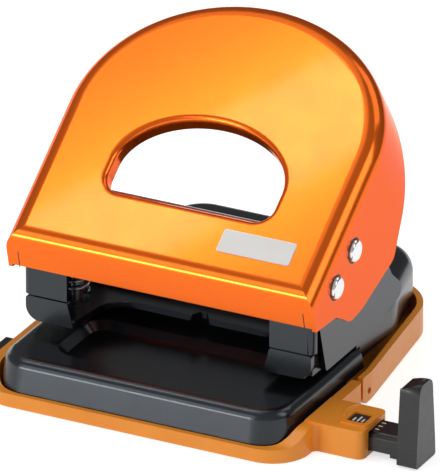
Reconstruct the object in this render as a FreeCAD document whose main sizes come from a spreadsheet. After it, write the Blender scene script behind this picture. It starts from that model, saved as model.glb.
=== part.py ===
import FreeCAD, Part
import math
import os

# Two-hole paper punch, in millimetres. X runs across the punch, Y to the back, Z up.
# The origin lies on the surface that the punch stands on, midway between the two punch pins.
SIZES = {
    # paper and hole pattern
    "hole_spacing": 80.0,
    "paper_edge_to_hole": 12.0,
    "paper_gap": 3.3,
    # gaps between pieces
    "seat_gap": 0.3,
    "running_gap": 0.05,
    "side_gap": 0.5,
    # front table
    "table_height": 13.8,
    "table_step": 1.5,
    "table_front": 38.8,
    "table_flare": 2.2,
    "table_corner": 9.0,
    "table_edge": 3.2,
    "apron_bottom": 3.0,
    "base_steel": 1.2,
    "dish_step": 7.0,
    "dish_depth": 2.4,
    "dish_draft": 45.0,
    "dish_back": 2.9,
    "dish_land": 8.8,
    "dish_corner": 7.0,
    "split_line": 13.5,
    # rear housing behind the paper
    "housing_top": 23.2,
    "housing_taper": 8.0,
    "housing_straight": 38.0,
    "housing_back": 69.5,
    "housing_bottom": 9.3,
    "housing_corner": 13.0,
    "housing_edge": 6.5,
    # cheeks
    "cheek_margin": 7.5,
    "cheek_steel": 2.0,
    "ear_radius": 7.5,
    "cheek_front": 15.8,
    "cheek_toe": 11.6,
    "foot_end": 38.2,
    "foot_rise": 7.0,
    "foot_heel": 36.0,
    "foot_heel_rise": 4.0,
    "foot_back": 31.0,
    "foot_back_rise": 13.2,
    "cheek_shoulder": 27.0,
    # jaw plate and punch brackets
    "jaw_steel": 2.0,
    "jaw_front": 19.5,
    "jaw_back": 11.0,
    "jaw_recess": 1.0,
    "jaw_lobe_step": 2.0,
    "seam_height": 24.7,
    "seam_gap": 0.5,
    "pointer_half_width": 2.8,
    "pointer_depth": 3.2,
    "bracket_reach": 7.0,
    "bracket_steel": 1.5,
    "bracket_top": 38.5,
    "bracket_back": 9.0,
    "bracket_return": 2.4,
    # punch pins, springs and dies
    "pin_radius": 2.75,
    "pin_bottom": 17.5,
    "pin_hollow": 1.2,
    "pin_head_radius": 5.0,
    "pin_head_height": 2.2,
    "collar_radius": 4.6,
    "collar_height": 1.2,
    "collar_bottom": 34.1,
    "clip_radius": 3.9,
    "clip_height": 0.8,
    "spring_wire": 1.0,
    "spring_radius": 3.65,
    "spring_turns": 6.0,
    "die_radius": 3.8,
    "die_height": 3.6,
    # lever
    "washer_gap": 1.2,
    "lever_steel": 1.3,
    "lever_angle": 36.0,
    "lever_length": 91.0,
    "lever_straight": 48.0,
    "ridge_front": 26.0,
    "ridge_height": 46.9,
    "lever_bend": 5.5,
    "skirt_front": 23.2,
    "skirt_bottom": 34.9,
    "flange_back": 27.1,
    "flange_drop": 9.6,
    "tail_back": 52.9,
    "tail_rise": 46.2,
    "grip_bottom": 20.5,
    "grip_side": 31.0,
    "grip_top": 49.5,
    "grip_half_width": 27.0,
    "grip_corner": 5.5,
    "grip_rim": 4.0,
    "grip_edge": 1.8,
    # pivots
    "pivot_back": -10.6,
    "pivot_height": 43.9,
    "pivot_radius": 2.5,
    "pusher_back": 1.0,
    "pusher_height": 50.9,
    "pusher_radius": 2.5,
    "rivet_head_radius": 3.4,
    "rivet_head_rise": 1.3,
    "washer_radius": 5.0,
    # plastic bottom
    "rim_wall": 3.5,
    "rim_front": 43.0,
    "rim_corner": 12.0,
    "rim_back": 3.0,
    "rim_height": 4.2,
    "rim_side_height": 8.4,
    "ramp_start": 38.5,
    "ramp_end": 32.2,
    "ledge": 2.7,
    "wall": 1.8,
    "floor": 1.2,
    "flap_taper": 8.0,
    "flap_front": 4.3,
    "flap_straight": 10.0,
    "flap_bevel": 2.0,
    "flap_back": 70.5,
    "flap_corner": 20.0,
    "flap_top": 8.8,
    "hinge_height": 3.2,
    "hinge_radius": 1.0,
    "hinge_back": 8.5,
    "lug_inner": 27.0,
    "lug_outer": 33.0,
    "boss_outer": 37.0,
    "boss_radius": 2.2,
    # paper guide
    "guide_front": 24.2,
    "guide_back": 14.6,
    "guide_bottom": 1.5,
    "guide_top": 7.3,
    "guide_reach": 3.5,
    "stop_reach": 10.5,
    "stop_thickness": 6.4,
    "stop_depth": 12.6,
    "stop_middle": 21.2,
    "stop_height": 26.0,
    "stop_top_depth": 8.0,
    "channel_gap": 0.25,
    "block_reach": 15.5,
    "block_front": 28.4,
    "block_back": 11.5,
    "block_top": 9.0,
    "block_corner": 2.5,
    "block_blend": 1.6,
    "window_width": 5.8,
    "window_margin": 1.9,
    "window_lip": 0.5,
    "window_front": 23.6,
    "window_back": 17.2,
    # fasteners
    "fastener_radius": 1.5,
    "fastener_head_radius": 2.6,
    "fastener_head_rise": 0.7,
}


def size(name):
    return SIZES[name]


# Sizes that follow from the ones above, so that the pieces keep together
SIZES["cheek_outer"] = size("hole_spacing") / 2 + size("cheek_margin")
SIZES["table_half_width"] = size("cheek_outer") - size("table_step")
SIZES["dish_half_width"] = size("hole_spacing") / 2 - size("dish_step")
SIZES["housing_rear_half_width"] = size("cheek_outer") - size("cheek_steel") - size("housing_taper")
SIZES["bracket_inner"] = size("hole_spacing") / 2 - size("bracket_reach")
SIZES["jaw_lobe_inner"] = size("bracket_inner") - size("jaw_lobe_step")
SIZES["lever_half_width"] = size("cheek_outer") + size("washer_gap") + size("lever_steel")
SIZES["rim_half_width"] = size("table_half_width") + size("table_flare") + size("seat_gap") + size("rim_wall")
SIZES["flap_half_width"] = size("rim_half_width") - size("side_gap")
SIZES["flap_rear_half_width"] = size("flap_half_width") - size("flap_taper")
SIZES["block_right"] = size("rim_half_width") + size("block_reach")
SIZES["window_right"] = size("block_right") - size("window_margin")
SIZES["window_left"] = size("window_right") - size("window_width")
SIZES["guide_end"] = size("rim_half_width") + size("guide_reach")
SIZES["stop_face"] = size("block_right") + size("stop_reach")


doc = FreeCAD.newDocument("TwoHolePunch")
sheet = doc.addObject("Spreadsheet::Sheet", "sizes")
for row, (alias, number) in enumerate(SIZES.items(), start=1):
    sheet.set(f"A{row}", alias)
    sheet.set(f"B{row}", str(number))
    sheet.setAlias(f"B{row}", alias)
doc.recompute()

# Places that follow from the driving sizes
PIN_X = size("hole_spacing") / 2
JAW_BOTTOM = size("table_height") + size("paper_gap")
JAW_TOP = JAW_BOTTOM + size("jaw_steel")
CHEEK_INNER = size("cheek_outer") - size("cheek_steel")
PIVOT = FreeCAD.Vector(0, size("pivot_back"), size("pivot_height"))
PUSHER = FreeCAD.Vector(0, size("pusher_back"), size("pusher_height"))
HEAD_TOP = size("pusher_height") - size("pusher_radius") - size("seat_gap")
HEAD_BOTTOM = HEAD_TOP - size("pin_head_height")
LEVER_INNER = size("lever_half_width") - size("lever_steel")

nodes = []


def vector(x, y, z=0.0):
    return FreeCAD.Vector(x, y, z)


# Outlines: closed loops of corners (a, b) or (a, b, radius), in order round the loop
def rounded_loop(corners):
    starts, ends, arcs = [], [], []
    count = len(corners)
    for index, corner in enumerate(corners):
        here = vector(corner[0], corner[1])
        radius = corner[2] if len(corner) > 2 else 0.0
        before = vector(*corners[index - 1][:2]) - here
        after = vector(*corners[(index + 1) % count][:2]) - here
        if radius <= 0:
            starts.append(here)
            ends.append(here)
            arcs.append(None)
            continue
        before.normalize()
        after.normalize()
        half = before.getAngle(after) / 2
        reach = radius / math.tan(half)
        first = here + before * reach
        last = here + after * reach
        bisector = before + after
        bisector.normalize()
        middle = here + bisector * (radius / math.sin(half) - radius)
        starts.append(first)
        ends.append(last)
        arcs.append(Part.Arc(first, middle, last))
    pieces = []
    for index in range(count):
        if arcs[index] is not None:
            pieces.append(arcs[index])
        here = ends[index]
        there = starts[(index + 1) % count]
        if here.distanceToPoint(there) > 1e-6:
            pieces.append(Part.LineSegment(here, there))
    return pieces


def mirrored_loop(half):
    return half + [(-corner[0],) + tuple(corner[1:]) for corner in reversed(half)]


def new_body(name):
    return doc.addObject("PartDesign::Body", name)


def new_sketch(body, role, loops, offset=0.0, offset_size=None, name="outline"):
    sketch = body.newObject("Sketcher::SketchObject", f"{body.Name}_{name}")
    plane = [item for item in body.Origin.OriginFeatures if item.Role == role][0]
    sketch.AttachmentSupport = (plane, [""])
    sketch.MapMode = "FlatFace"
    sketch.AttachmentOffset = FreeCAD.Placement(vector(0, 0, offset), FreeCAD.Rotation())
    if offset_size:
        sketch.setExpression("AttachmentOffset.Base.z", offset_size)
    for loop in loops:
        sketch.addGeometry(loop, False)
    doc.recompute()
    return sketch


def pad(body, sketch, length, symmetric=False, reverse=False):
    feature = body.newObject("PartDesign::Pad", f"{sketch.Name}_pad")
    feature.Profile = sketch
    feature.setExpression("Length", length)
    feature.Midplane = symmetric
    feature.Reversed = reverse
    doc.recompute()
    return feature


def pocket(body, sketch, length, symmetric=False, reverse=False):
    volume = body.Shape.Volume
    feature = body.newObject("PartDesign::Pocket", f"{sketch.Name}_pocket")
    feature.Profile = sketch
    feature.setExpression("Length", length)
    feature.Midplane = symmetric
    feature.Reversed = reverse
    doc.recompute()
    if body.Shape.Volume > volume - 1e-3:
        raise ValueError(f"{feature.Name} cuts nothing")
    return feature


def fillet_edges(body, radius, chosen, name="rounding"):
    picked = [f"Edge{index}" for index, edge in enumerate(body.Shape.Edges, start=1) if chosen(edge)]
    if not picked:
        raise ValueError(f"{body.Name}: no edge to round")
    base = body.Tip
    feature = body.newObject("PartDesign::Fillet", f"{body.Name}_{name}")
    feature.Base = (base, picked)
    feature.setExpression("Radius", radius)
    doc.recompute()
    return feature


def part_object(kind, name, **settings):
    item = doc.addObject(kind, name)
    for key, text in settings.items():
        item.setExpression(key.replace("__", "."), text)
    return item


def upright_cylinder(name, radius, height, x, y, z):
    item = part_object("Part::Cylinder", name, Radius=radius, Height=height)
    item.setExpression("Placement.Base.x", x)
    item.setExpression("Placement.Base.y", y)
    item.setExpression("Placement.Base.z", z)
    return item


def cross_cylinder(name, radius, length, x, y, z):
    item = upright_cylinder(name, radius, length, x, y, z)
    item.Placement.Rotation = FreeCAD.Rotation(vector(0, 1, 0), 90)
    return item


def fused(name, items):
    whole = doc.addObject("Part::MultiFuse", name)
    whole.Shapes = items
    return whole


def cut_away(name, base, tool):
    result = doc.addObject("Part::Cut", name)
    result.Base = base
    result.Tool = tool
    return result


def keep(item, label):
    item.Label = label
    nodes.append(item)
    return item


# Front table of the base: a deep-drawn steel shell with a finger dish and a rear tongue
def table_form(name, inset):
    body = new_body(name)
    width = size("table_half_width") - inset
    front = size("table_front") - inset
    flare = size("table_flare")
    corner = size("table_corner") - inset
    top = size("table_height") - inset
    depth = top - size("apron_bottom") + 3 * inset
    back = size("split_line") + inset
    upper = mirrored_loop([(width, back + flare), (width, -front, corner)])
    block = pad(body, new_sketch(body, "XY_Plane", [rounded_loop(upper)], top), f"{depth} mm", reverse=True)
    block.TaperAngle = math.degrees(math.atan(flare / depth))
    doc.recompute()
    radius = "sizes.table_edge" if inset == 0 else "sizes.table_edge - sizes.base_steel"
    fillet_edges(body, radius, lambda edge: edge.BoundBox.ZMin > top - 0.01
                 and edge.BoundBox.YMin < back + flare - 1)
    behind = [(2 * width, back), (2 * width, 2 * back), (-2 * width, 2 * back), (-2 * width, back)]
    pocket(body, new_sketch(body, "XY_Plane", [rounded_loop(behind)], top + 1, name="behind"),
           "2 * sizes.table_height")
    wide = size("dish_half_width") + inset
    near = size("table_front") - size("dish_land") + inset
    far = -size("dish_back") + inset
    rounding = size("dish_corner") + inset
    brim = mirrored_loop([(wide, far, rounding), (wide, -near, rounding)])
    dish = pocket(body, new_sketch(body, "XY_Plane", [rounded_loop(brim)], top, name="brim"), "sizes.dish_depth")
    dish.TaperAngle = -size("dish_draft")
    doc.recompute()
    return body


def make_base_plate():
    outer = table_form("table_outside", 0)
    inner = table_form("table_inside", size("base_steel"))
    shell = cut_away("table_shell", outer, inner)
    tongue = part_object("Part::Box", "table_tongue", Height="sizes.base_steel",
                         Length="2 * (sizes.cheek_outer - sizes.cheek_steel - sizes.base_steel)",
                         Width="sizes.housing_straight - sizes.split_line - sizes.base_steel",
                         Placement__Base__y="sizes.split_line",
                         Placement__Base__z="sizes.table_height - sizes.base_steel",
                         Placement__Base__x="-(sizes.cheek_outer - sizes.cheek_steel - sizes.base_steel)")
    whole = fused("table_whole", [shell, tongue])
    holes = []
    for side, sign in (("left", -1), ("right", 1)):
        holes.append(upright_cylinder(f"die_hole_{side}", "sizes.die_radius + sizes.running_gap",
                                      "4 * sizes.base_steel", f"{sign} * sizes.hole_spacing / 2", "0 mm",
                                      "sizes.table_height - 2 * sizes.base_steel"))
    slot = part_object("Part::Box", "bar_slot", Length="4 * sizes.table_half_width",
                       Width="sizes.guide_front - sizes.guide_back + 2 * sizes.side_gap",
                       Height="sizes.guide_top + sizes.side_gap",
                       Placement__Base__x="-2 * sizes.table_half_width",
                       Placement__Base__y="-sizes.guide_front - sizes.side_gap")
    relief = part_object("Part::Box", "tray_relief", Length="4 * sizes.table_half_width",
                         Width="sizes.split_line", Height="sizes.flap_top - sizes.floor",
                         Placement__Base__x="-2 * sizes.table_half_width",
                         Placement__Base__y="sizes.rim_back - 1")
    cutters = fused("table_cutters", holes + [slot, relief])
    return keep(cut_away("table_cut", whole, cutters), "base_plate")


def housing_form(name, inset):
    body = new_body(name)
    side = CHEEK_INNER - inset
    rear_side = size("housing_rear_half_width") - inset
    front = size("paper_edge_to_hole") + inset
    back = size("housing_back") - inset
    top = size("housing_top") - inset
    low = size("housing_bottom") - inset
    corner = size("housing_corner") - inset
    plan = mirrored_loop([(side, front), (side, size("housing_straight"), 20.0),
                          (rear_side, back, corner)])
    outline = new_sketch(body, "XY_Plane", [rounded_loop(plan)], low)
    pad(body, outline, "sizes.housing_top - sizes.housing_bottom")
    split = size("split_line") + size("side_gap") + inset
    under = size("table_height") - inset
    step = [(0.0, low - 1), (split, low - 1), (split, under), (0.0, under)]
    notch = new_sketch(body, "YZ_Plane", [rounded_loop(step)], name="step")
    pocket(body, notch, "4 * sizes.table_half_width", symmetric=True)
    radius = "sizes.housing_edge" if inset == 0 else "sizes.housing_edge - sizes.base_steel"
    fillet_edges(body, radius, lambda edge: edge.BoundBox.ZMin > top - 0.01
                 and edge.BoundBox.YMax > front + 1)
    return body


def make_rear_housing():
    outer = housing_form("housing_outside", 0)
    inner = housing_form("housing_inside", size("base_steel"))
    return keep(cut_away("housing_shell", outer, inner), "rear_housing")


# Cheeks: flat steel plates that carry the lever, with a foot welded to the rear housing
def make_cheek(side, sign):
    body = new_body(f"cheek_{side}")
    ear = size("ear_radius")
    bottom = JAW_BOTTOM
    y, z = PIVOT.y, PIVOT.z
    outline = [
        (-size("cheek_front"), z - 12.0, 6.0),
        (-size("cheek_toe"), bottom, 1.2),
        (size("paper_edge_to_hole") + 2, bottom, 8.0),
        (size("foot_heel"), bottom + size("foot_heel_rise"), 2.2),
        (size("foot_end"), bottom + size("foot_rise"), 2.2),
        (size("foot_back"), bottom + size("foot_back_rise"), 3.0),
        (size("cheek_shoulder"), z - ear + 0.5, 4.0),
        (y + ear + 2.5, z - 6.0, 3.5),
        (y + ear, z + ear, ear - 0.2),
        (y - ear, z + ear, ear - 0.2),
    ]
    start = CHEEK_INNER if sign > 0 else -size("cheek_outer")
    sketch = new_sketch(body, "YZ_Plane", [rounded_loop(outline)], start)
    pad(body, sketch, "sizes.cheek_steel")
    hole = new_sketch(body, "YZ_Plane", [[Part.Circle(vector(y, z), vector(0, 0, 1),
                      size("pivot_radius") + size("running_gap"))]], start, name="pivot")
    pocket(body, hole, "sizes.cheek_steel", reverse=True)
    return keep(body, f"{side}_cheek")


# Jaw plate: holds the paper down, guides the pins and carries the springs
def make_jaw_plate():
    body = new_body("jaw")
    lobe = size("jaw_lobe_inner")
    plan = mirrored_loop([
        (CHEEK_INNER, size("jaw_back")),
        (CHEEK_INNER, -size("jaw_front") + 3.0),
        (CHEEK_INNER - 1.5, -size("jaw_front") + 3.0),
        (CHEEK_INNER - 1.5, -size("jaw_front") + 0.5),
        (lobe, -size("jaw_front") + 0.5, 1.0),
        (lobe - 2.5, size("jaw_recess"), 9.0),
        (size("pointer_half_width"), size("jaw_recess"), 0.8),
        (1.0, size("jaw_recess") + size("pointer_depth"), 0.8),
    ])
    pad(body, new_sketch(body, "XY_Plane", [rounded_loop(plan)], JAW_BOTTOM), "sizes.jaw_steel")
    outer = CHEEK_INNER + 1.0
    for sign in (-1, 1):
        tab = [(sign * size("bracket_inner"), size("seam_height"), 0.8), (sign * lobe, JAW_BOTTOM),
               (sign * outer, JAW_BOTTOM, 4.5), (sign * outer, size("seam_height"), 0.8)]
        sketch = new_sketch(body, "XZ_Plane", [rounded_loop(tab)], size("jaw_front"),
                            name=f"tab{sign + 1}")
        pad(body, sketch, "sizes.jaw_steel", reverse=True)
    holes = [[Part.Circle(vector(sign * PIN_X, 0), vector(0, 0, 1),
              size("pin_radius") + size("running_gap"))] for sign in (-1, 1)]
    pocket(body, new_sketch(body, "XY_Plane", holes, JAW_TOP, name="pins"), "2 * sizes.jaw_steel")
    return keep(body, "jaw_plate")


# Punch brackets: the folded front walls and the top flanges that guide the upper ends of the pins
def make_bracket(side, sign):
    body = new_body(f"bracket_{side}")
    steel = size("bracket_steel")
    inner = size("bracket_inner")
    outer = size("cheek_outer") - 0.2
    front = -size("jaw_front")
    reach = size("bracket_return")
    fold = [(sign * inner, front), (sign * outer, front, 2.0),
            (sign * outer, front + reach), (sign * (outer - steel), front + reach),
            (sign * (outer - steel), front + steel, 0.6),
            (sign * inner, front + steel)]
    low = size("seam_height") + size("seam_gap")
    sketch = new_sketch(body, "XY_Plane", [rounded_loop(fold)], low)
    pad(body, sketch, "sizes.bracket_top - sizes.seam_height - sizes.seam_gap")
    flange = [(sign * inner, front), (sign * CHEEK_INNER, front + 1.0), (sign * CHEEK_INNER, size("bracket_back")),
              (sign * inner, size("bracket_back"), 3.0)]
    level = size("bracket_top") - steel
    pad(body, new_sketch(body, "XY_Plane", [rounded_loop(flange)], level, name="flange"),
        "sizes.bracket_steel")
    hole = [[Part.Circle(vector(sign * PIN_X, 0), vector(0, 0, 1),
             size("pin_radius") + size("running_gap"))]]
    pocket(body, new_sketch(body, "XY_Plane", hole, size("bracket_top"), name="guide"),
           "2 * sizes.bracket_steel")
    return keep(body, f"punch_bracket_{side}")


# Turned pieces: a half profile (radius, height) turned about the Z axis of the body
def turned(name, profile, place=None):
    body = new_body(name)
    sketch = new_sketch(body, "XZ_Plane", [rounded_loop(profile)])
    feature = body.newObject("PartDesign::Revolution", f"{name}_turn")
    feature.Profile = sketch
    feature.ReferenceAxis = (sketch, ["V_Axis"])
    feature.Angle = 360
    doc.recompute()
    if place:
        body.Placement = place
    return body


def ring_profile(inner, outer, low, high):
    return [(inner, low), (outer, low), (outer, high), (inner, high)]


def make_punch(side, sign):
    at_pin = FreeCAD.Placement(vector(sign * PIN_X, 0, 0), FreeCAD.Rotation())
    radius = size("pin_radius")
    groove_low = size("collar_bottom") + size("collar_height")
    groove_high = groove_low + size("clip_height")
    groove = radius - 0.5
    profile = [(0, size("pin_bottom") + size("pin_hollow")), (radius, size("pin_bottom")),
               (radius, groove_low), (groove, groove_low), (groove, groove_high), (radius, groove_high),
               (radius, HEAD_BOTTOM), (size("pin_head_radius"), HEAD_BOTTOM, 0.3),
               (size("pin_head_radius"), HEAD_TOP, 0.6), (0, HEAD_TOP)]
    keep(turned(f"pin_{side}", profile, at_pin), f"punch_pin_{side}")
    collar = ring_profile(radius + size("running_gap"), size("collar_radius"), size("collar_bottom"), groove_low)
    keep(turned(f"collar_{side}", collar, at_pin), f"spring_collar_{side}")
    clip = new_body(f"clip_{side}")
    mouth = 1.6
    outer, inner = size("clip_radius"), groove + size("running_gap")
    reach_out = math.sqrt(outer ** 2 - mouth ** 2)
    reach_in = math.sqrt(inner ** 2 - mouth ** 2)
    ring = [Part.Arc(vector(mouth, -reach_out), vector(0, outer), vector(-mouth, -reach_out)),
            Part.LineSegment(vector(-mouth, -reach_out), vector(-mouth, -reach_in)),
            Part.Arc(vector(-mouth, -reach_in), vector(0, inner), vector(mouth, -reach_in)),
            Part.LineSegment(vector(mouth, -reach_in), vector(mouth, -reach_out))]
    pad(clip, new_sketch(clip, "XY_Plane", [ring], groove_low), "sizes.clip_height")
    clip.Placement = at_pin
    keep(clip, f"retaining_clip_{side}")


# Springs: one unbroken wire, drawn along pairs of arcs that follow the helix
def arc_pair(start, start_way, end, end_way):
    chord = end - start
    ways = start_way + end_way
    flat = 2 * (1 - start_way.dot(end_way))
    lean = chord.dot(ways)
    reach = (math.sqrt(lean * lean + flat * chord.dot(chord)) - lean) / flat
    first = start + start_way * reach
    second = end - end_way * reach
    join = (first + second) / 2
    return [bend(start, first, join), bend(join, second, end)]


def bend(start, corner, end):
    centre = (start + end) / 2
    half_chord = start.distanceToPoint(end) / 2
    rise = centre.distanceToPoint(corner)
    turn = math.atan2(rise, half_chord)
    middle = centre + (corner - centre) * (half_chord * math.tan(turn / 2) / rise)
    return Part.Arc(start, middle, end).toShape()


def spring_point(part):
    turns = size("spring_turns")
    wire = size("spring_wire")
    low = JAW_TOP + wire / 2 + size("running_gap")
    high = size("collar_bottom") - wire / 2 - size("running_gap")
    angle = 2 * math.pi * turns * part
    radius = size("spring_radius")
    rise = (high - low) / (2 * math.pi * turns)
    point = vector(radius * math.cos(angle), radius * math.sin(angle), low + rise * angle)
    way = vector(-radius * math.sin(angle), radius * math.cos(angle), rise)
    way.normalize()
    return point, way


def make_spring(side, sign):
    steps = int(size("spring_turns") * 4)
    edges = []
    for step in range(steps):
        start, start_way = spring_point(step / steps)
        end, end_way = spring_point((step + 1) / steps)
        edges += arc_pair(start, start_way, end, end_way)
    path = Part.Wire(edges)
    start, way = spring_point(0)
    section = Part.Wire([Part.Circle(start, way, size("spring_wire") / 2).toShape()])
    shell = Part.BRepOffsetAPI.MakePipeShell(path)
    shell.add(section)
    shell.build()
    shell.makeSolid()
    item = doc.addObject("Part::Feature", f"spring_{side}")
    item.Shape = shell.shape()
    item.Placement = FreeCAD.Placement(vector(sign * PIN_X, 0, 0), FreeCAD.Rotation())
    keep(item, f"return_spring_{side}")
    points = path.discretize(Number=40 * int(size("spring_turns")))
    apart = 30
    least = min(one.distanceToPoint(two) for index, one in enumerate(points) for two in points[index + apart:])
    print(f"return_spring_{side}: least gap to itself {least - size('spring_wire'):.2f} mm")


def make_die(side, sign):
    top = size("table_height")
    bottom = top - size("die_height")
    hole = size("pin_radius") + size("running_gap")
    profile = [(hole, bottom), (size("die_radius"), bottom, 0.3), (size("die_radius"), top, 0.2), (hole, top)]
    place = FreeCAD.Placement(vector(sign * PIN_X, 0, 0), FreeCAD.Rotation())
    keep(turned(f"die_{side}", profile, place), f"die_ring_{side}")


# Lever: one deep-drawn pressing, modelled in the plane of its top face and then tilted
LEVER_TILT = math.radians(size("lever_angle"))


def in_lever(y, z):
    dy = y + size("ridge_front")
    dz = z - size("ridge_height")
    along = dy * math.cos(LEVER_TILT) + dz * math.sin(LEVER_TILT)
    out = dz * math.cos(LEVER_TILT) - dy * math.sin(LEVER_TILT)
    return along, out


def arch_loop(half_width, straight, top, bottom):
    centre = vector(0, straight)
    curve = Part.Ellipse(centre, max(top - straight, half_width), min(top - straight, half_width))
    if top - straight > half_width:
        curve.rotate(FreeCAD.Placement(vector(0, 0), FreeCAD.Rotation(vector(0, 0, 1), 90), centre))
        arc = Part.ArcOfEllipse(curve, -math.pi / 2, math.pi / 2)
    else:
        arc = Part.ArcOfEllipse(curve, 0, math.pi)
    right, left = vector(half_width, straight), vector(-half_width, straight)
    low_right, low_left = vector(half_width, bottom), vector(-half_width, bottom)
    return [arc, Part.LineSegment(left, low_left), Part.LineSegment(low_left, low_right),
            Part.LineSegment(low_right, right)]


def grip_loop(grow):
    wide = size("grip_half_width") + grow
    low = size("grip_bottom") - grow
    side = size("grip_side")
    top = size("grip_top") + grow
    corner = size("grip_corner") + grow
    curve = Part.Ellipse(vector(0, side), wide, top - side)
    arc = Part.ArcOfEllipse(curve, 0, math.pi)
    loop = rounded_loop([(wide, side), (-wide, side), (-wide, low, corner), (wide, low, corner)])
    chord = [piece for piece in loop if min(piece.StartPoint.y, piece.EndPoint.y) > side - 1e-6]
    return [arc] + [piece for piece in loop if piece not in chord]


def lever_form(name, inset):
    body = new_body(name)
    steel = size("lever_steel")
    deep = 0.0 if inset == 0 else 12.0
    skirt = in_lever(-size("skirt_front") + inset, size("skirt_bottom") - deep)
    ridge = (inset * math.tan(math.radians(30)) if inset else 0.0, -inset)
    level = size("ridge_height")
    rear_low = in_lever(size("flange_back") + deep, level - size("flange_drop") - deep)
    rear_high = in_lever(size("tail_back") + deep, level + size("tail_rise"))
    beyond = (size("lever_length") + 30, rear_high[1])
    edge = [ridge, skirt]
    if inset == 0:
        edge += [in_lever(-10.5, level - 12.6) + (3.0,), in_lever(-6.4, level - 14.8),
                 in_lever(-1.2, level - 18.0) + (6.0,), in_lever(6.3, level - 17.0) + (5.0,), rear_low + (5.0,)]
    else:
        edge += [in_lever(-1.2, level - 18.0 - deep), rear_low]
    edge += [rear_high, beyond, (beyond[0], -inset)]
    sketch = new_sketch(body, "YZ_Plane", [rounded_loop(edge)], name="side")
    pad(body, sketch, "4 * sizes.lever_half_width", symmetric=True)
    reach = 2 * size("lever_length")
    frame = [vector(-reach, -reach), vector(reach, -reach), vector(reach, reach), vector(-reach, reach)]
    border = [Part.LineSegment(frame[index], frame[(index + 1) % 4]) for index in range(4)]
    arch = arch_loop(size("lever_half_width") - inset, size("lever_straight"),
                     size("lever_length") - inset, -size("ridge_front"))
    outline = new_sketch(body, "XY_Plane", [border, arch], 10.0, name="arch")
    pocket(body, outline, "2 * sizes.lever_length")
    radius = "sizes.lever_bend" if inset == 0 else "sizes.lever_bend - sizes.lever_steel"
    fillet_edges(body, radius, lambda edge: edge.BoundBox.ZMin > -inset - 0.01)
    grip = new_sketch(body, "XY_Plane", [grip_loop(steel if inset else 0)], -inset, name="grip")
    pocket(body, grip, "sizes.grip_rim" if inset else "3 * sizes.grip_rim")
    if inset == 0:
        fillet_edges(body, "sizes.grip_edge", lambda edge: edge.BoundBox.ZMin > -0.01
                     and edge.BoundBox.YMin > size("grip_bottom") - 0.01
                     and edge.BoundBox.XMax < size("grip_half_width") + 0.01
                     and edge.BoundBox.XMin > -size("grip_half_width") - 0.01
                     and edge.BoundBox.YMax < size("grip_top") + 0.01, name="grip_rounding")
        for label, spot, radius in (("pivot", PIVOT, "pivot_radius"), ("pusher", PUSHER, "pusher_radius")):
            along, out = in_lever(spot.y, spot.z)
            hole = [[Part.Circle(vector(along, out), vector(0, 0, 1), size(radius) + size("running_gap"))]]
            pocket(body, new_sketch(body, "YZ_Plane", hole, name=label), "4 * sizes.lever_half_width",
                   symmetric=True)
    doc.recompute()
    body.Placement = FreeCAD.Placement(vector(0, -size("ridge_front"), size("ridge_height")),
                                       FreeCAD.Rotation(vector(1, 0, 0), size("lever_angle")))
    return body


def make_lever():
    outer = lever_form("lever_outside", 0)
    inner = lever_form("lever_inside", size("lever_steel"))
    keep(cut_away("lever_shell", outer, inner), "lever")


# Round pieces that lie across the punch: a half profile (position across, radius)
def turned_across(name, profile, spot):
    body = new_body(name)
    sketch = new_sketch(body, "XZ_Plane", [rounded_loop(profile)])
    feature = body.newObject("PartDesign::Revolution", f"{name}_turn")
    feature.Profile = sketch
    feature.ReferenceAxis = (sketch, ["H_Axis"])
    feature.Angle = 360
    doc.recompute()
    body.Placement = FreeCAD.Placement(spot, FreeCAD.Rotation())
    return body


def make_pusher_rod():
    seat = size("lever_half_width")
    radius = size("pusher_radius")
    head = size("rivet_head_radius")
    tip = seat + size("rivet_head_rise")
    profile = [(-tip, 0), (-tip, head, 1.0), (-seat, head), (-seat, radius), (seat, radius), (seat, head),
               (tip, head, 1.0), (tip, 0)]
    keep(turned_across("rod", profile, PUSHER), "pusher_rod")


def make_pivot(side, sign):
    outer = size("lever_half_width")
    tip = outer + size("rivet_head_rise")
    inner = CHEEK_INNER - 1.2
    head = size("rivet_head_radius")
    radius = size("pivot_radius")
    profile = [(sign * inner, 0), (sign * inner, head), (sign * CHEEK_INNER, head), (sign * CHEEK_INNER, radius),
               (sign * outer, radius), (sign * outer, head), (sign * tip, head, 1.0), (sign * tip, 0)]
    keep(turned_across(f"pivot_{side}", profile, PIVOT), f"pivot_rivet_{side}")
    low = size("cheek_outer")
    high = LEVER_INNER - size("running_gap")
    bore = radius + size("running_gap")
    washer = [(sign * low, bore), (sign * high, bore), (sign * high, size("washer_radius")),
              (sign * low, size("washer_radius"))]
    keep(turned_across(f"washer_{side}", washer, PIVOT), f"pivot_washer_{side}")


# Plastic bottom: the fixed front frame that catches the chips and carries the paper guide
def cavity(body, half_width, front, corner, back, top, depth, name):
    plan = mirrored_loop([(half_width, back), (half_width, -front, corner)])
    return pocket(body, new_sketch(body, "XY_Plane", [rounded_loop(plan)], top, name=name), depth)


def cross_hole(body, y, z, radius, name):
    hole = [[Part.Circle(vector(y, z), vector(0, 0, 1), radius)]]
    return pocket(body, new_sketch(body, "YZ_Plane", hole, name=name), "4 * sizes.rim_half_width", symmetric=True)


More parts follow.
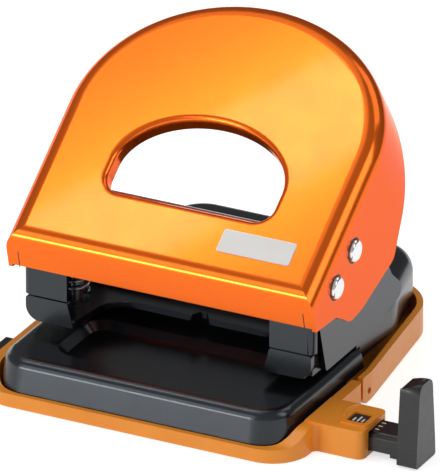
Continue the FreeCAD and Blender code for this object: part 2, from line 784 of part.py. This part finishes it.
def make_bottom_frame():
    body = new_body("bottom")
    wide = size("rim_half_width")
    back = size("rim_back")
    front = size("rim_front")
    side = size("rim_side_height")
    top = size("block_top")
    plan = mirrored_loop([(wide, back), (wide, -front, size("rim_corner"))])
    pad(body, new_sketch(body, "XY_Plane", [rounded_loop(plan)]), "sizes.rim_side_height")
    ramp = [(-front - 1, top), (-front - 1, size("rim_height")), (-size("ramp_start"), size("rim_height"), 6.0),
            (-size("ramp_end"), side, 6.0), (-size("block_front"), side), (-size("block_front"), top)]
    pocket(body, new_sketch(body, "YZ_Plane", [rounded_loop(ramp)], name="ramp"), "4 * sizes.rim_half_width",
           symmetric=True)
    apron = size("table_half_width") + size("table_flare") + size("seat_gap")
    apron_front = size("table_front") + size("table_flare") + size("seat_gap")
    apron_corner = size("table_corner") + size("table_flare") + size("seat_gap")
    near, far = -size("block_front"), -size("block_back")
    small = size("block_corner")
    block = [(apron + 0.4, near), (size("block_right"), near, small), (size("block_right"), far, small),
             (apron + 0.4, far)]
    pad(body, new_sketch(body, "XY_Plane", [rounded_loop(block)], name="block"), "sizes.block_top")
    fillet_edges(body, "sizes.block_blend", lambda edge: abs(edge.BoundBox.XMin - wide) < 0.01
                 and edge.BoundBox.XLength < 0.01 and edge.BoundBox.YLength < 0.01
                 and edge.BoundBox.ZLength > 2)
    lip = size("window_lip")
    border = [(size("window_left") - 1.6, -size("window_front") - 1.6, 1.2),
              (size("window_right") + 1.6, -size("window_front") - 1.6, 1.2),
              (size("window_right") + 1.6, -size("window_back") + 1.6, 1.2),
              (size("window_left") - 1.6, -size("window_back") + 1.6, 1.2)]
    pad(body, new_sketch(body, "XY_Plane", [rounded_loop(border)], top, name="lip"), "sizes.window_lip")
    cavity(body, apron, apron_front, apron_corner, back + 1, side,
           "sizes.rim_side_height - sizes.apron_bottom", "seat")
    ledge = size("ledge")
    cavity(body, apron - ledge, apron_front - ledge, apron_corner - ledge, back + 1, size("apron_bottom"),
           "sizes.apron_bottom - sizes.floor", "well")
    gap = size("channel_gap")
    reach = 2 * wide
    channel = [(-size("guide_front") - gap, size("guide_bottom") - gap),
               (-size("guide_back") + gap, size("guide_bottom") - gap),
               (-size("guide_back") + gap, size("guide_top") + gap),
               (-size("guide_front") - gap, size("guide_top") + gap)]
    pocket(body, new_sketch(body, "YZ_Plane", [rounded_loop(channel)], name="channel"),
           "4 * sizes.rim_half_width", symmetric=True)
    window = [(size("window_left"), -size("window_front"), 0.8), (size("window_right"), -size("window_front"), 0.8),
              (size("window_right"), -size("window_back"), 0.8), (size("window_left"), -size("window_back"), 0.8)]
    pocket(body, new_sketch(body, "XY_Plane", [rounded_loop(window)], top + lip, name="window"),
           "sizes.block_top + sizes.window_lip - sizes.guide_top")
    y, z = size("hinge_back"), size("hinge_height")
    reach = size("boss_radius")
    lug = [(back - 8, size("floor") / 2), (y + reach, z - reach, 2.0), (y + reach, z + reach, 2.0),
           (back - 8, z + reach, 2.0)]
    for sign, name in ((-1, "left_lug"), (1, "right_lug")):
        start = size("lug_inner") if sign > 0 else -size("lug_outer")
        pad(body, new_sketch(body, "YZ_Plane", [rounded_loop(lug)], start, name=name),
            "sizes.lug_outer - sizes.lug_inner")
    cross_hole(body, y, z, size("hinge_radius") + size("running_gap"), "hinge")
    return keep(body, "bottom_frame")


# Chip tray: a shallow tub under the housing that swings down to let the chips out
def make_chip_flap():
    body = new_body("flap")
    front, back = size("flap_front"), size("flap_back")
    wall = size("wall")
    y, z = size("hinge_back"), size("hinge_height")

    def tub(inset, start):
        side = size("flap_half_width") - inset
        rear = size("flap_rear_half_width") - inset
        return rounded_loop(mirrored_loop([(side, start), (side, size("flap_straight"), 24.0),
                                           (rear, back - inset, size("flap_corner") - inset)]))

    pad(body, new_sketch(body, "XY_Plane", [tub(0, front)]), "sizes.flap_top")
    pocket(body, new_sketch(body, "XY_Plane", [tub(wall, front - 1)], size("flap_top"), name="well"),
           "sizes.flap_top - sizes.floor")
    bevel = size("flap_bevel")
    corner = [(front - 1, -1), (front + bevel, -1), (front + bevel, 0), (front, bevel), (front - 1, bevel)]
    pocket(body, new_sketch(body, "YZ_Plane", [rounded_loop(corner)], name="bevel"),
           "4 * sizes.flap_half_width", symmetric=True)
    reach = size("boss_radius")
    boss = [(y - reach, size("floor") / 2), (y + reach, size("floor") / 2), (y + reach, z + reach, 2.0),
            (y - reach, z + reach, 2.0)]
    for sign, name in ((-1, "left_boss"), (1, "right_boss")):
        start = size("lug_outer") + 1 if sign > 0 else -size("boss_outer")
        pad(body, new_sketch(body, "YZ_Plane", [rounded_loop(boss)], start, name=name),
            "sizes.boss_outer - sizes.lug_outer - 1")
    for sign, name in ((-1, "left_notch"), (1, "right_notch")):
        a = sign * (size("lug_inner") - size("side_gap"))
        b = sign * (size("lug_outer") + size("side_gap"))
        notch = [(a, front - 1), (b, front - 1), (b, y + reach + 0.8), (a, y + reach + 0.8)]
        pocket(body, new_sketch(body, "XY_Plane", [rounded_loop(notch)], size("floor"), name=name),
               "2 * sizes.floor")
    cross_hole(body, y, z, size("hinge_radius") + size("running_gap"), "hinge")
    return keep(body, "chip_flap")


def make_hinge_pin():
    pin = cross_cylinder("hinge_rod", "sizes.hinge_radius", "2 * sizes.boss_outer", "-sizes.boss_outer",
                         "sizes.hinge_back", "sizes.hinge_height")
    return keep(pin, "flap_hinge_pin")


# Paper guide: a bar with an upright stop at its end, one moulding
def make_guide_bar():
    body = new_body("guide")
    front, back = -size("guide_front"), -size("guide_back")
    low, high = size("guide_bottom"), size("guide_top")
    section = [(front, low, 0.4), (back, low, 0.4), (back, high, 0.4), (front + 1.4, high, 0.4),
               (front + 1.4, high - 0.7), (front, high - 1.3, 0.4)]
    sketch = new_sketch(body, "YZ_Plane", [rounded_loop(section)], -size("guide_end"))
    pad(body, sketch, "sizes.guide_end + sizes.stop_face + sizes.stop_thickness / 2")
    middle = -size("stop_middle")
    half = size("stop_depth") / 2
    cap = size("stop_top_depth") / 2
    top = size("stop_height")
    foot = size("seat_gap")
    shape = [(middle - half, foot, 0.8), (middle + half, foot, 0.8), (middle + half - 0.4, foot + 6.0, 8.0),
             (middle + cap, top, 3.2), (middle - cap, top, 3.2), (middle - half + 0.4, foot + 6.0, 8.0)]
    sketch = new_sketch(body, "YZ_Plane", [rounded_loop(shape)], size("stop_face"), name="stop")
    pad(body, sketch, "sizes.stop_thickness")
    stop = size("stop_face")
    face = [(stop - 4.0, foot), (stop + 1.0, foot), (stop + 1.0, low + 1.0), (stop - 4.0, low + 1.0)]
    sketch = new_sketch(body, "XZ_Plane", [rounded_loop(face)], -back + 0.6, name="foot")
    pad(body, sketch, "sizes.guide_front - sizes.guide_back - 1.2")
    thick = size("stop_thickness")
    slope = [(stop - 1, top + 1), (stop - 1, top - 2.2), (stop, top - 2.2), (stop + 0.8 * thick, top - 0.3, 3.0),
             (stop + thick + 1, top - 0.3), (stop + thick + 1, top + 1)]
    pocket(body, new_sketch(body, "XZ_Plane", [rounded_loop(slope)], name="slope"), "4 * sizes.stop_depth",
           symmetric=True)
    return keep(body, "guide_bar")


make_base_plate()
make_rear_housing()
make_jaw_plate()
for side, sign in (("left", -1), ("right", 1)):
    make_cheek(side, sign)
    make_bracket(side, sign)
    make_die(side, sign)
    make_punch(side, sign)
    make_spring(side, sign)
    make_pivot(side, sign)
make_lever()
make_pusher_rod()
make_bottom_frame()
make_chip_flap()
make_hinge_pin()
make_guide_bar()
doc.recompute()

for item in doc.Objects:
    if "Invalid" in item.State or "Error" in item.State:
        raise ValueError(f"{item.Name} did not build")

os.makedirs("parts", exist_ok=True)
for item in nodes:
    if item.Shape.isNull() or not item.Shape.isValid() or len(item.Shape.Solids) != 1:
        raise ValueError(f"{item.Label} is not one sound solid")
    item.Shape.exportStep(f"parts/{item.Label}.step")
    print(item.Label, round(item.Shape.Volume))
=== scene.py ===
import math

import bpy
from mathutils import Matrix, Vector


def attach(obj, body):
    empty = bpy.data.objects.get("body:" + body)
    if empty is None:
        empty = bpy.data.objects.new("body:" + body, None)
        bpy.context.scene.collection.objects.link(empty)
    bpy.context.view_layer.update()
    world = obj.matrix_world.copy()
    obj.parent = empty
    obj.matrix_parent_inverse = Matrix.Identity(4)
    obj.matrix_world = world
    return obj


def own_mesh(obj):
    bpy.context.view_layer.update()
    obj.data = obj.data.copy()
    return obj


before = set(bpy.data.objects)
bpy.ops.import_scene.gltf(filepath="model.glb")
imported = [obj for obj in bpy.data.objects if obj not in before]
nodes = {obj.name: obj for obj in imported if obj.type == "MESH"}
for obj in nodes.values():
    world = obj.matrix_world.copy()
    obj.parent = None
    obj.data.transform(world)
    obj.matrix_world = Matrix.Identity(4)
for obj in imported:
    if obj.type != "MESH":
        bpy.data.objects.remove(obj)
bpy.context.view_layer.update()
scene = bpy.context.scene

# Sizes that the dressing shares with the solids, in metres
LEVER_TILT = math.radians(36)
RIDGE = Vector((0, -0.026, 0.0469))


def on_lever(across, along, out=0.0):
    y = RIDGE.y + along * math.cos(LEVER_TILT) - out * math.sin(LEVER_TILT)
    z = RIDGE.z + along * math.sin(LEVER_TILT) + out * math.cos(LEVER_TILT)
    return Vector((across, y, z))


# Materials
def new_material(name):
    material = bpy.data.materials.new(name)
    material.use_nodes = True
    tree = material.node_tree
    return material, tree, tree.nodes["Principled BSDF"]


def add_node(tree, kind, **inputs):
    node = tree.nodes.new(kind)
    for key, value in inputs.items():
        node.inputs[key.replace("_", " ")].default_value = value
    return node


def object_coordinates(tree):
    return tree.nodes.new("ShaderNodeTexCoord").outputs["Object"]


def noise(tree, scale, detail=3.0, roughness=0.55):
    node = add_node(tree, "ShaderNodeTexNoise", Scale=scale, Detail=detail, Roughness=roughness)
    tree.links.new(object_coordinates(tree), node.inputs["Vector"])
    return node.outputs["Fac"]


def spread(tree, value, low, high):
    node = tree.nodes.new("ShaderNodeMapRange")
    node.inputs["From Min"].default_value = 0.3
    node.inputs["From Max"].default_value = 0.7
    node.inputs["To Min"].default_value = low
    node.inputs["To Max"].default_value = high
    tree.links.new(value, node.inputs["Value"])
    return node.outputs["Result"]


def ramp(tree, value, stops):
    node = tree.nodes.new("ShaderNodeValToRGB")
    elements = node.color_ramp.elements
    for element, (place, colour) in zip(elements, (stops[0], stops[-1])):
        element.position = place
        element.color = (*colour, 1)
    for place, colour in stops[1:-1]:
        extra = elements.new(place)
        extra.color = (*colour, 1)
    tree.links.new(value, node.inputs["Fac"])
    return node.outputs["Color"]


def bump(tree, shader, height, distance, strength):
    node = tree.nodes.new("ShaderNodeBump")
    node.inputs["Distance"].default_value = distance
    node.inputs["Strength"].default_value = strength
    tree.links.new(height, node.inputs["Height"])
    tree.links.new(node.outputs["Normal"], shader.inputs["Normal"])


def metallic_paint():
    material, tree, shader = new_material("orange_metallic_paint")
    flakes = add_node(tree, "ShaderNodeTexVoronoi", Scale=9000.0)
    tree.links.new(object_coordinates(tree), flakes.inputs["Vector"])
    colour = ramp(tree, flakes.outputs["Distance"], [(0.0, (0.94, 0.18, 0.010)), (0.5, (0.89, 0.148, 0.008)),
                                                   (1.0, (0.82, 0.12, 0.006))])
    tree.links.new(colour, shader.inputs["Base Color"])
    shader.inputs["Metallic"].default_value = 0.8
    shader.inputs["Specular Tint"].default_value = (0.95, 0.38, 0.13, 1)
    tree.links.new(spread(tree, noise(tree, 140.0), 0.165, 0.2), shader.inputs["Roughness"])
    shader.inputs["Coat Weight"].default_value = 0.22
    shader.inputs["Coat Roughness"].default_value = 0.05
    bump(tree, shader, noise(tree, 420.0, 1.0), 0.00003, 0.05)
    return material


def black_enamel():
    material, tree, shader = new_material("black_enamel")
    colour = ramp(tree, noise(tree, 60.0), [(0.3, (0.0035, 0.0042, 0.0055)), (0.7, (0.006, 0.007, 0.009))])
    tree.links.new(colour, shader.inputs["Base Color"])
    tree.links.new(spread(tree, noise(tree, 220.0), 0.2, 0.235), shader.inputs["Roughness"])
    shader.inputs["Specular IOR Level"].default_value = 0.65
    shader.inputs["Specular Tint"].default_value = (0.84, 0.92, 1, 1)
    bump(tree, shader, noise(tree, 1500.0, 4.0), 0.00004, 0.12)
    return material


def moulded(name, dark, light, rough, grain, strength):
    material, tree, shader = new_material(name)
    tree.links.new(ramp(tree, noise(tree, 45.0), [(0.3, dark), (0.7, light)]), shader.inputs["Base Color"])
    tree.links.new(spread(tree, noise(tree, 300.0), rough - 0.04, rough + 0.05), shader.inputs["Roughness"])
    bump(tree, shader, noise(tree, grain, 5.0), 0.00006, strength)
    return material


def steel(name, tone, rough, stretch):
    material, tree, shader = new_material(name)
    mapping = tree.nodes.new("ShaderNodeMapping")
    mapping.inputs["Scale"].default_value = stretch
    tree.links.new(object_coordinates(tree), mapping.inputs["Vector"])
    lines = add_node(tree, "ShaderNodeTexNoise", Scale=700.0, Detail=4.0)
    tree.links.new(mapping.outputs["Vector"], lines.inputs["Vector"])
    dark, light = (tone, tone, tone * 1.03), (tone * 1.15,) * 3
    colour = ramp(tree, lines.outputs["Fac"], [(0.3, dark), (0.7, light)])
    tree.links.new(colour, shader.inputs["Base Color"])
    shader.inputs["Metallic"].default_value = 1.0
    tree.links.new(spread(tree, lines.outputs["Fac"], rough * 0.7, rough * 1.3), shader.inputs["Roughness"])
    bump(tree, shader, lines.outputs["Fac"], 0.00003, 0.15)
    return material


PAINT = metallic_paint()
ENAMEL = black_enamel()
ORANGE = moulded("orange_moulding", (0.88, 0.29, 0.022), (0.94, 0.33, 0.028), 0.36, 1400.0, 0.15)
GUIDE = moulded("dark_grey_moulding", (0.005, 0.0055, 0.007), (0.008, 0.0085, 0.010), 0.3, 2600.0, 0.25)
# Black washer colour, also used for the thin dark strips of painted shade in the gaps round rivet heads and in
# the skirt's corner slits
WASHER_AND_SHADE = moulded("black_washer_and_shade", (0.012, 0.012, 0.013), (0.02, 0.02, 0.022), 0.5, 1800.0, 0.3)
CHROME = steel("bright_plate", 0.72, 0.13, (1, 1, 1))
TOOL = steel("ground_steel", 0.5, 0.24, (1, 1, 6))
WIRE = steel("spring_wire", 0.42, 0.3, (4, 4, 1))
DARK_STEEL = steel("blackened_steel", 0.12, 0.35, (1, 1, 1))
PLATE = moulded("bare_plate", (0.78, 0.77, 0.74), (0.84, 0.83, 0.80), 0.4, 900.0, 0.12)
PRINT = moulded("white_print", (0.8, 0.8, 0.79), (0.88, 0.88, 0.87), 0.5, 1500.0, 0.15)

FINISH = {
    "lever": PAINT, "bottom_frame": ORANGE, "chip_flap": ORANGE, "guide_bar": GUIDE, "pusher_rod": CHROME,
    "base_plate": ENAMEL, "rear_housing": ENAMEL, "jaw_plate": ENAMEL,
    "left_cheek": ENAMEL, "right_cheek": ENAMEL, "flap_hinge_pin": TOOL,
}
for side in ("left", "right"):
    FINISH[f"punch_bracket_{side}"] = ENAMEL
    FINISH[f"die_ring_{side}"] = TOOL
    FINISH[f"punch_pin_{side}"] = TOOL
    FINISH[f"spring_collar_{side}"] = TOOL
    FINISH[f"retaining_clip_{side}"] = DARK_STEEL
    FINISH[f"return_spring_{side}"] = WIRE
    FINISH[f"pivot_rivet_{side}"] = CHROME
    FINISH[f"pivot_washer_{side}"] = WASHER_AND_SHADE
for name, material in FINISH.items():
    for holder in nodes[name].material_slots:
        holder.material = material


# Small pieces
def finished(name, data, material, body):
    piece = bpy.data.objects.new(name, data)
    scene.collection.objects.link(piece)
    data.materials.append(material)
    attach(piece, body)
    return piece


def rounded_plate(name, width, depth, corner, thick, steps=6):
    half_w, half_d = width / 2 - corner, depth / 2 - corner
    ring = []
    for centre, start in (((half_w, half_d), 0), ((-half_w, half_d), 90), ((-half_w, -half_d), 180),
                          ((half_w, -half_d), 270)):
        for step in range(steps + 1):
            angle = math.radians(start + 90 * step / steps)
            ring.append((centre[0] + corner * math.cos(angle), centre[1] + corner * math.sin(angle)))
    levels = [(1.0, 0.0), (1.0, thick * 0.6), (1 - thick * 0.5 / width, thick)]
    points = [(x * grow, y * grow, z) for grow, z in levels for x, y in ring]
    count = len(ring)
    faces = [tuple(range(count - 1, -1, -1)), tuple(range(2 * count, 3 * count))]
    for level in range(2):
        for index in range(count):
            after = (index + 1) % count
            base = level * count
            faces.append((base + index, base + after, base + count + after, base + count + index))
    data = bpy.data.meshes.new(name)
    data.from_pydata(points, [], faces)
    data.validate()
    return data


# Trim lies this far off the surface below it
LIFT = 0.00001

# Bare plate on the lever: width, depth, corner radius, thickness; then its place across and along the face
PLATE_SIZE = (0.0235, 0.0076, 0.0008, 0.0003)
PLATE_PLACE = (0.0272, 0.0122)
plate = finished("bare_plate", rounded_plate("bare_plate", *PLATE_SIZE), PLATE, "lever")
plate.matrix_world = (Matrix.Translation(on_lever(*PLATE_PLACE, LIFT))
                      @ Matrix.Rotation(LEVER_TILT, 4, "X"))

# Card with three strokes in the guide's window, and three ticks on the bar
WINDOW = Vector((0.0627, -0.0204, 0.0086))
CARD_THICK = 0.0003
STROKE_WIDTH, STROKE_PITCH = 0.0006, 0.0014
LONG_STROKE, SHORT_STROKE = 0.0034, 0.0022
MARK_CORNER, MARK_THICK = 0.0002, 0.00006
TICK_WIDTH, TICK_DEPTH, TICK_PITCH = 0.0014, 0.0005, 0.0022
FIRST_TICK_X, FIRST_TICK_Y = 0.0687, -0.0212
BAR_TOP = 0.0073
card = finished("window_card", rounded_plate("window_card", 0.0056, 0.0062, 0.0005, CARD_THICK),
                WASHER_AND_SHADE, "base")
card.matrix_world = Matrix.Translation(WINDOW)
STROKES = ((-STROKE_PITCH, SHORT_STROKE), (0, LONG_STROKE), (STROKE_PITCH, SHORT_STROKE))
for index, (across, length) in enumerate(STROKES):
    name = f"window_tick_{index}"
    data = rounded_plate(name, STROKE_WIDTH, length, MARK_CORNER, MARK_THICK)
    stroke = finished(name, data, PRINT, "base")
    offset = Vector((across, (length - LONG_STROKE) / 2, CARD_THICK))
    stroke.matrix_world = Matrix.Translation(WINDOW + offset)
for index in range(3):
    name = f"tick_{index}"
    data = rounded_plate(name, TICK_WIDTH, TICK_DEPTH, MARK_CORNER, MARK_THICK)
    tick = finished(name, data, PRINT, "guide")
    tick.matrix_world = Matrix.Translation((FIRST_TICK_X, FIRST_TICK_Y + TICK_PITCH * index, BAR_TOP + LIFT))

# Painted shade: dark rings on the lever's sides stand for the shadowed gap round the heads of pivot and pusher
# rod, given by their Y and Z
HEAD_RADIUS = 0.0034
LEVER_SIDE = 0.05
RING_RISE = 0.00005
RING_SECTION = ((HEAD_RADIUS - 0.0001, RING_RISE), (HEAD_RADIUS + 0.00045, RING_RISE), (HEAD_RADIUS + 0.00055, 0))
PIVOT = (-0.0106, 0.0439)
PUSHER = (0.001, 0.0509)


def gap_shade_ring(name, side, centre):
    count = 40
    points, faces = [], []
    for radius, rise in RING_SECTION:
        for step in range(count):
            angle = 2 * math.pi * step / count
            points.append((side * (LEVER_SIDE + rise), centre[0] + radius * math.cos(angle),
                           centre[1] + radius * math.sin(angle)))
    for level in range(2):
        for step in range(count):
            after = (step + 1) % count
            corners = (level * count + step, level * count + after, (level + 1) * count + after,
                       (level + 1) * count + step)
            faces.append(corners if side < 0 else corners[::-1])
    data = bpy.data.meshes.new(name)
    data.from_pydata(points, [], faces)
    finished(name, data, WASHER_AND_SHADE, "lever")


for end, side in (("left", -1), ("right", 1)):
    gap_shade_ring(f"pivot_gap_ring_{end}", side, PIVOT)
    gap_shade_ring(f"pusher_gap_ring_{end}", side, PUSHER)


# Soft edges
def soften(name, width):
    weld = nodes[name].modifiers.new("joined", "WELD")
    weld.merge_threshold = 1e-6
    modifier = nodes[name].modifiers.new("soft_edges", "BEVEL")
    modifier.width = width
    modifier.segments = 3
    modifier.limit_method = "ANGLE"
    modifier.angle_limit = math.radians(40)
    modifier.harden_normals = True


MOULDED_EDGE, SHEET_EDGE = 0.0007, 0.0003
soften("guide_bar", MOULDED_EDGE)
for name in ("punch_bracket_left", "punch_bracket_right", "left_cheek", "right_cheek", "jaw_plate"):
    soften(name, SHEET_EDGE)

# Painted shade: thin dark strips at the corner seams of the pressed skirt stand for the shade in the slits;
# width, length, corner radius, thickness; then their place up and across
SEAM_SIZE = (0.00028, 0.0056, 0.00012, 0.00004)
SEAM_UP, SEAM_ACROSS = 0.0031, 0.0463
SKIRT_FOOT = Vector((0, -0.0232, 0.0349))
skirt_up = (RIDGE - SKIRT_FOOT).normalized()
skirt_out = Vector((0, -skirt_up.z, skirt_up.y))
for end, side in (("left", -1), ("right", 1)):
    name = f"corner_slit_shade_{end}"
    seam = finished(name, rounded_plate(name, *SEAM_SIZE), WASHER_AND_SHADE, "lever")
    centre = SKIRT_FOOT + skirt_up * SEAM_UP + skirt_out * LIFT + Vector((side * SEAM_ACROSS, 0, 0))
    seam.matrix_world = Matrix.Translation(centre) @ Matrix((
        (-1, 0, 0, 0), (0, skirt_up.y, skirt_out.y, 0), (0, skirt_up.z, skirt_out.z, 0), (0, 0, 0, 1)))


# Raised thumb rib beside the guide's window
def arc_rib(name, centre, radius, width, rise, first, last, steps=24):
    points, faces = [], []
    section = ((-width / 2, 0), (-width / 3, rise), (width / 3, rise), (width / 2, 0))
    for step in range(steps + 1):
        share = step / steps
        angle = math.radians(first + (last - first) * share)
        taper = min(1.0, 6 * min(share, 1 - share) + 0.3)
        for offset, height in section:
            reach = radius + offset * taper
            points.append((centre[0] + reach * math.cos(angle), centre[1] + reach * math.sin(angle),
                           centre[2] + height * taper))
    for step in range(steps):
        for index in range(3):
            corner = 4 * step + index
            faces.append((corner, corner + 1, corner + 5, corner + 4))
    faces += [(0, 3, 2, 1), tuple(4 * steps + index for index in range(4))]
    data = bpy.data.meshes.new(name)
    data.from_pydata(points, [], faces)
    for polygon in data.polygons:
        polygon.use_smooth = True
    finished(name, data, ORANGE, "base")


arc_rib("thumb_rib", centre=(0.0636, -0.0165, 0.009), radius=0.0068, width=0.0013, rise=0.0005,
        first=135, last=228)

# Each return spring gets a mesh of its own here; on the object, the springs shorten from their upper end, which
# moves with the pins, to their seat in the base
for side in ("left", "right"):
    spring = nodes[f"return_spring_{side}"]
    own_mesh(spring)


# Floor and light
def stage_plane(name, size, place, material):
    data = bpy.data.meshes.new(name)
    half = size / 2
    corners = [(-half, -half, 0), (half, -half, 0), (half, half, 0), (-half, half, 0)]
    data.from_pydata(corners, [], [(0, 1, 2, 3)])
    data.materials.append(material)
    piece = bpy.data.objects.new(name, data)
    piece.location = place
    scene.collection.objects.link(piece)


FLOOR_SIZE, FLOOR_HEIGHT, FLOOR_GLOW = 40.0, -0.0002, 0.62
floor, tree, shader = new_material("floor")
tree.links.new(ramp(tree, noise(tree, 3.0), [(0.3, (0.86, 0.86, 0.86)), (0.7, (0.88, 0.88, 0.88))]),
               shader.inputs["Base Color"])
shader.inputs["Roughness"].default_value = 0.8
shader.inputs["Specular IOR Level"].default_value = 0.1
shader.inputs["Emission Color"].default_value = (1, 1, 1, 1)
light_path = tree.nodes.new("ShaderNodeLightPath")
seen = light_path.outputs["Is Camera Ray"]
for kind in ("Is Glossy Ray", "Is Transmission Ray"):
    either = tree.nodes.new("ShaderNodeMath")
    either.operation = "MAXIMUM"
    tree.links.new(seen, either.inputs[0])
    tree.links.new(light_path.outputs[kind], either.inputs[1])
    seen = either.outputs["Value"]
glow = tree.nodes.new("ShaderNodeMath")
glow.operation = "MULTIPLY"
glow.inputs[1].default_value = FLOOR_GLOW
tree.links.new(seen, glow.inputs[0])
tree.links.new(glow.outputs["Value"], shader.inputs["Emission Strength"])
stage_plane("floor", FLOOR_SIZE, (0, 0, FLOOR_HEIGHT), floor)

# The world is brighter in front of the part than behind it
WORLD_FRONT, WORLD_BACK = 0.55, 0.14
world = bpy.data.worlds.new("studio")
scene.world = world
world.use_nodes = True
tree = world.node_tree
background = tree.nodes["Background"]
background.inputs["Color"].default_value = (1, 1, 1, 1)
split = tree.nodes.new("ShaderNodeSeparateXYZ")
tree.links.new(tree.nodes.new("ShaderNodeTexCoord").outputs["Generated"], split.inputs["Vector"])
fade = tree.nodes.new("ShaderNodeMapRange")
fade.inputs["From Min"].default_value = -1
fade.inputs["To Min"].default_value = WORLD_FRONT
fade.inputs["To Max"].default_value = WORLD_BACK
tree.links.new(split.outputs["Y"], fade.inputs["Value"])
tree.links.new(fade.outputs["Result"], background.inputs["Strength"])


def softbox(name, place, aim, width, depth, radiance, turn=0.0):
    data = bpy.data.lights.new(name, "AREA")
    data.shape = "RECTANGLE"
    data.size = width
    data.size_y = depth
    data.energy = math.pi * width * depth * radiance
    lamp = bpy.data.objects.new(name, data)
    lamp.location = place
    facing = (Vector(aim) - Vector(place)).to_track_quat("-Z", "Y").to_matrix()
    lamp.rotation_euler = (facing @ Matrix.Rotation(turn, 3, "Z")).to_euler()
    lamp.visible_camera = False
    scene.collection.objects.link(lamp)


# Lamps: name, place, aim, width, depth, radiance and, for the band alone, a turn about its aim
softbox("overhead", (-0.26, 0.02, 0.8), (-0.26, 0.02, 0), 0.6, 0.8, 0.64)
softbox("band", (-0.2345, -0.082, 0.6), (-0.2345, -0.082, 0), 0.34, 0.033, 8.0, math.radians(36))
softbox("front", (-0.38, -0.85, 0.45), (0, -0.03, 0.05), 0.5, 0.34, 1.7)
softbox("low_front", (-0.46, -0.92, 0.085), (0, -0.04, 0.01), 0.42, 0.17, 10.0)
softbox("left_rim", (-0.8, 0.55, 0.14), (0, 0, 0.06), 0.4, 0.24, 1.6)
softbox("right", (0.85, 0.08, 0.58), (0, 0, 0.04), 0.3, 0.6, 2.4)
softbox("back_right", (0.3, 0.5, 0.6), (0.25, 0.4, 0), 0.45, 0.45, 1.2)

# Camera
AZIMUTH, ELEVATION, DISTANCE = math.radians(27.04), math.radians(24.97), 3.62
TARGET = Vector((0.007085, 0, 0.046683))
camera_data = bpy.data.cameras.new("camera")
camera_data.sensor_fit = "HORIZONTAL"
camera_data.sensor_width = 36
camera_data.lens = 1021.4
camera_data.clip_end = 20
camera = bpy.data.objects.new("camera", camera_data)
level = math.cos(ELEVATION)
way = Vector((math.sin(AZIMUTH) * level, -math.cos(AZIMUTH) * level, math.sin(ELEVATION)))
camera.location = TARGET + way * DISTANCE
camera.rotation_euler = way.to_track_quat("Z", "Y").to_euler()
scene.collection.objects.link(camera)
scene.camera = camera
scene.view_settings.view_transform = "Standard"
